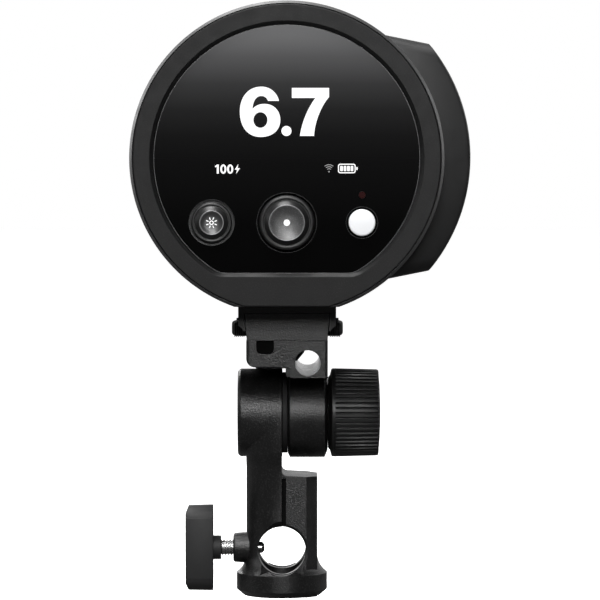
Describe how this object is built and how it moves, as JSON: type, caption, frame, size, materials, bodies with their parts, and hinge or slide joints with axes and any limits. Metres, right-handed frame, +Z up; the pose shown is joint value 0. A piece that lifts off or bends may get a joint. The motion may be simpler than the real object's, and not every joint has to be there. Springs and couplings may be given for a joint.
{
  "type": "battery monolight strobe",
  "caption": "Battery studio flash head with a rear control panel, side battery, sliding dock and a tilting stand bracket with knob, umbrella hole and T-handle clamp.",
  "frame": {"origin": "centre of the upright stand socket's mouth, at the bracket's foot", "axes": "+Z up along the stand socket, control panel facing -Y, lamp firing towards +Y, tilt axis along X with the knob at +X and the T-handle at -X"},
  "size_m": [0.1126, 0.1766, 0.2011],
  "materials": {
    "cast_black": "black powder coat, fine grain",
    "steel_bright": "turned, oiled",
    "steel_zinc": "zinc plated",
    "plastic_black": "black, fine spark texture",
    "plastic_grey": "dark grey, fine spark texture",
    "plastic_satin": "black, satin",
    "rubber_black": "matt",
    "friction_fibre": "dry fibre disc",
    "bronze": "sintered",
    "brass": "machined",
    "panel_black_glass": "smoked, polished",
    "display_lit": "dark panel with white segments",
    "board_green": "solder resist",
    "white_plastic": "satin white",
    "lamp_red": "clear dark red",
    "aluminium_plain": "mill finish",
    "aluminium_bright": "bright, faceted light",
    "can_sleeve": "shrink sleeve",
    "copper_winding": "varnished",
    "lamp_board": "white",
    "led_phosphor": "yellow phosphor",
    "tube_glass": "clear",
    "frosted_glass": "frosted",
    "cell_wrap": "cell wrap"
  },
  "bodies": {
    "stand_adapter": {"stand_arm": "cast_black", "tilt_bolt": "steel_zinc", "bolt_cap": "plastic_black", "friction_disc": "friction_fibre"},
    "knob_washer": {"thrust_washer": "steel_zinc"},
    "tilt_knob": {"knob_grip": "plastic_satin", "knob_insert": "brass", "knob_cap": "plastic_satin"},
    "clamp_nose": {"clamp_tip": "steel_bright"},
    "clamp_tee": {"clamp_screw": "steel_bright", "clamp_handle": "plastic_grey"},
    "bracket": {"tilt_bracket": "cast_black", "pivot_bush": "bronze", "carriage": "cast_black", "carriage_screws": "steel_zinc"},
    "pad": {"umbrella_pad": "rubber_black"},
    "left_release": {"release_left": "plastic_black"},
    "right_release": {"release_right": "plastic_black"},
    "head": {"rear_housing": "plastic_grey", "panel_ring": "plastic_grey", "panel_glass": "panel_black_glass", "display_module": "display_lit", "control_board": "board_green", "board_screws": "steel_zinc", "ring_screws": "steel_zinc", "encoder_body": "aluminium_plain", "tact_switches": "plastic_black", "ready_lamp": "lamp_red", "dock_rail": "plastic_black", "dock_screws": "steel_zinc", "chassis": "aluminium_plain", "chassis_screws": "steel_zinc", "main_board": "board_green", "power_board": "board_green", "flash_capacitors": "can_sleeve", "trigger_coil": "copper_winding", "battery_connector": "plastic_black", "port_sockets": "steel_zinc", "fan_frame": "plastic_black", "led_heatsink": "aluminium_plain", "led_module": "led_phosphor", "lamp_bulkhead": "lamp_board", "flash_tube": "tube_glass", "reflector": "aluminium_bright", "front_barrel": "plastic_grey", "front_glass": "frosted_glass", "front_ring": "plastic_black"},
    "plunger": {"encoder_plunger": "steel_zinc"},
    "dial": {"dial_shaft": "steel_bright", "dial_knob": "plastic_satin"},
    "modelling_button": {"light_button": "plastic_satin"},
    "flash_test_button": {"test_button": "white_plastic"},
    "rotor": {"fan_rotor": "plastic_black"},
    "side_cover": {"port_cover": "rubber_black"},
    "battery": {"battery_tray": "plastic_black", "battery_cover": "plastic_grey", "battery_cells": "cell_wrap", "battery_terminals": "brass"},
    "latch": {"battery_latch": "plastic_black"},
    "gauge": {"gauge_button": "rubber_black"}
  },
  "joints": [
    {"name": "knob_feed", "type": "slide", "parent": "stand_adapter", "child": "knob_washer", "axis": [1, 0, 0], "range_m": [0, 0.00251]},
    {"name": "knob_turn", "type": "hinge", "parent": "knob_washer", "child": "tilt_knob", "pos_m": [0.025, 0, 0.0623], "axis": [1, 0, 0], "range_deg": [0, 720]},
    {"name": "clamp_feed", "type": "slide", "parent": "stand_adapter", "child": "clamp_nose", "axis": [1, 0, 0], "range_m": [-0.00301, 0.00301]},
    {"name": "clamp_turn", "type": "hinge", "parent": "clamp_nose", "child": "clamp_tee", "pos_m": [-0.02, 0, 0.016], "axis": [1, 0, 0], "range_deg": [-1080, 1080]},
    {"name": "tilt", "type": "hinge", "parent": "stand_adapter", "child": "bracket", "pos_m": [0, 0, 0.0623], "axis": [1, 0, 0], "range_deg": [-90, 90]},
    {"name": "pad_push", "type": "slide", "parent": "bracket", "child": "pad", "axis": [-0.766, 0, 0.6428], "range_m": [0, 0.0013]},
    {"name": "release_left_press", "type": "slide", "parent": "bracket", "child": "left_release", "axis": [1, 0, 0], "range_m": [0, 0.0009]},
    {"name": "release_right_press", "type": "slide", "parent": "bracket", "child": "right_release", "axis": [-1, 0, 0], "range_m": [0, 0.0009]},
    {"name": "dock_slide", "type": "slide", "parent": "bracket", "child": "head", "axis": [0, 1, 0], "range_m": [0, 0.062]},
    {"name": "dial_press", "type": "slide", "parent": "head", "child": "plunger", "axis": [0, 1, 0], "range_m": [0, 0.0006]},
    {"name": "dial_turn", "type": "hinge", "parent": "plunger", "child": "dial", "pos_m": [0.0019, -0.058, 0.1289], "axis": [0, -1, 0], "continuous": true},
    {"name": "light_press", "type": "slide", "parent": "head", "child": "modelling_button", "axis": [0, 1, 0], "range_m": [0, 0.0006]},
    {"name": "test_press", "type": "slide", "parent": "head", "child": "flash_test_button", "axis": [0, 1, 0], "range_m": [0, 0.0006]},
    {"name": "fan_spin", "type": "hinge", "parent": "head", "child": "rotor", "pos_m": [0.0019, 0.048, 0.1498], "axis": [0, 1, 0], "continuous": true},
    {"name": "port_cover_swing", "type": "hinge", "parent": "head", "child": "side_cover", "pos_m": [-0.0476, -0.0086, 0.1498], "axis": [0, 0, -1], "range_deg": [0, 110]},
    {"name": "battery_slide", "type": "slide", "parent": "head", "child": "battery", "axis": [1, 0, 0], "range_m": [0, 0.045]},
    {"name": "latch_press", "type": "slide", "parent": "battery", "child": "latch", "axis": [-1, 0, 0], "range_m": [0, 0.0015]},
    {"name": "gauge_press", "type": "slide", "parent": "battery", "child": "gauge", "axis": [-1, 0, 0], "range_m": [0, 0.0008]}
  ],
  "couplings": [
    {"joint": "knob_feed", "follows": "knob_turn", "m_per_rad": 0.00019894},
    {"joint": "clamp_feed", "follows": "clamp_turn", "m_per_rad": 0.00015915}
  ]
}
